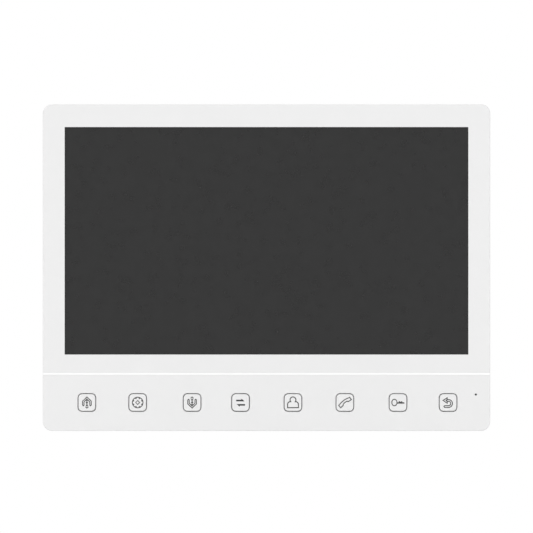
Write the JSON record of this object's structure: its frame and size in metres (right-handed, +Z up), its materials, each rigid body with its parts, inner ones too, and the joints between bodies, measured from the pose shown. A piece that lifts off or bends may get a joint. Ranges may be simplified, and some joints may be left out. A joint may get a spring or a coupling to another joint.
{
  "type": "video intercom monitor",
  "caption": "Wall-mounted indoor intercom monitor with a wide screen over a row of square push keys, hung on a pressed steel bracket.",
  "frame": {"origin": "middle of the wall bracket's back face, in the plane of the wall", "axes": "+X to the right seen from the front, +Z up, +Y into the wall, so the screen faces -Y"},
  "size_m": [0.2466, 0.0256, 0.18],
  "materials": {
    "case_plastic": "fine moulded texture",
    "key_plastic": "fine moulded texture",
    "trim_plastic": "gloss",
    "screen_glass": "anti-glare polariser",
    "backlight_film": "matt",
    "tray_steel": "zinc-plated",
    "bracket_steel": "zinc-plated",
    "screw_steel": "zinc-plated",
    "circuit_board": "solder mask",
    "chip_plastic": "moulded epoxy",
    "capacitor_can": "satin",
    "ferrite": "matt",
    "socket_nylon": "natural nylon",
    "flex_film": "polyimide film",
    "ribbon_film": "polyester film",
    "boot_rubber": "matt",
    "capsule_can": "satin",
    "cone_paper": "treated paper",
    "gasket_foam": "closed-cell foam",
    "plunger_plastic": "nylon",
    "switch_plastic": "nylon"
  },
  "bodies": {
    "bracket": {"wall_bracket": "bracket_steel"},
    "housing": {"backlight_unit": "backlight_film", "bus_socket_1": "socket_nylon", "bus_socket_2": "socket_nylon", "bus_socket_3": "socket_nylon", "bus_socket_4": "socket_nylon", "capacitor": "capacitor_can", "case_screw_bottom_left": "screw_steel", "case_screw_bottom_middle": "screw_steel", "case_screw_bottom_right": "screw_steel", "case_screw_top_left": "screw_steel", "case_screw_top_middle": "screw_steel", "case_screw_top_right": "screw_steel", "divider_trim": "trim_plastic", "front_bezel": "case_plastic", "key_board": "circuit_board", "key_board_screw_1": "screw_steel", "key_board_screw_2": "screw_steel", "key_board_screw_3": "screw_steel", "key_flex": "ribbon_film", "key_panel": "case_plastic", "lcd_flex": "flex_film", "lcd_panel": "screen_glass", "lcd_tray": "tray_steel", "main_board": "circuit_board", "mic_boot": "boot_rubber", "mic_capsule": "capsule_can", "power_inductor": "ferrite", "power_socket": "socket_nylon", "rear_cover": "case_plastic", "screen_gasket": "gasket_foam", "soc_chip": "chip_plastic", "speaker_basket": "tray_steel", "speaker_cone": "cone_paper", "speaker_gasket": "gasket_foam", "speaker_magnet": "ferrite", "switch_body_call": "switch_plastic", "switch_body_down": "switch_plastic", "switch_body_person": "switch_plastic", "switch_body_return": "switch_plastic", "switch_body_settings": "switch_plastic", "switch_body_switch": "switch_plastic", "switch_body_unlock": "switch_plastic", "switch_body_up": "switch_plastic"},
    "key_up": {"keycap_up": "key_plastic", "plunger_up": "plunger_plastic"},
    "key_settings": {"keycap_settings": "key_plastic", "plunger_settings": "plunger_plastic"},
    "key_down": {"keycap_down": "key_plastic", "plunger_down": "plunger_plastic"},
    "key_switch": {"keycap_switch": "key_plastic", "plunger_switch": "plunger_plastic"},
    "key_person": {"keycap_person": "key_plastic", "plunger_person": "plunger_plastic"},
    "key_call": {"keycap_call": "key_plastic", "plunger_call": "plunger_plastic"},
    "key_unlock": {"keycap_unlock": "key_plastic", "plunger_unlock": "plunger_plastic"},
    "key_return": {"keycap_return": "key_plastic", "plunger_return": "plunger_plastic"}
  },
  "joints": [
    {"name": "lift_off", "type": "slide", "parent": "bracket", "child": "housing", "axis": [0, 0, 1], "range_m": [0, 0.0085]},
    {"name": "press_up", "type": "slide", "parent": "housing", "child": "key_up", "axis": [0, 1, 0], "range_m": [0, 0.0005], "stiffness_N_per_m": 2000, "springref_m": -0.0003},
    {"name": "press_settings", "type": "slide", "parent": "housing", "child": "key_settings", "axis": [0, 1, 0], "range_m": [0, 0.0005], "stiffness_N_per_m": 2000, "springref_m": -0.0003},
    {"name": "press_down", "type": "slide", "parent": "housing", "child": "key_down", "axis": [0, 1, 0], "range_m": [0, 0.0005], "stiffness_N_per_m": 2000, "springref_m": -0.0003},
    {"name": "press_switch", "type": "slide", "parent": "housing", "child": "key_switch", "axis": [0, 1, 0], "range_m": [0, 0.0005], "stiffness_N_per_m": 2000, "springref_m": -0.0003},
    {"name": "press_person", "type": "slide", "parent": "housing", "child": "key_person", "axis": [0, 1, 0], "range_m": [0, 0.0005], "stiffness_N_per_m": 2000, "springref_m": -0.0003},
    {"name": "press_call", "type": "slide", "parent": "housing", "child": "key_call", "axis": [0, 1, 0], "range_m": [0, 0.0005], "stiffness_N_per_m": 2000, "springref_m": -0.0003},
    {"name": "press_unlock", "type": "slide", "parent": "housing", "child": "key_unlock", "axis": [0, 1, 0], "range_m": [0, 0.0005], "stiffness_N_per_m": 2000, "springref_m": -0.0003},
    {"name": "press_return", "type": "slide", "parent": "housing", "child": "key_return", "axis": [0, 1, 0], "range_m": [0, 0.0005], "stiffness_N_per_m": 2000, "springref_m": -0.0003}
  ]
}
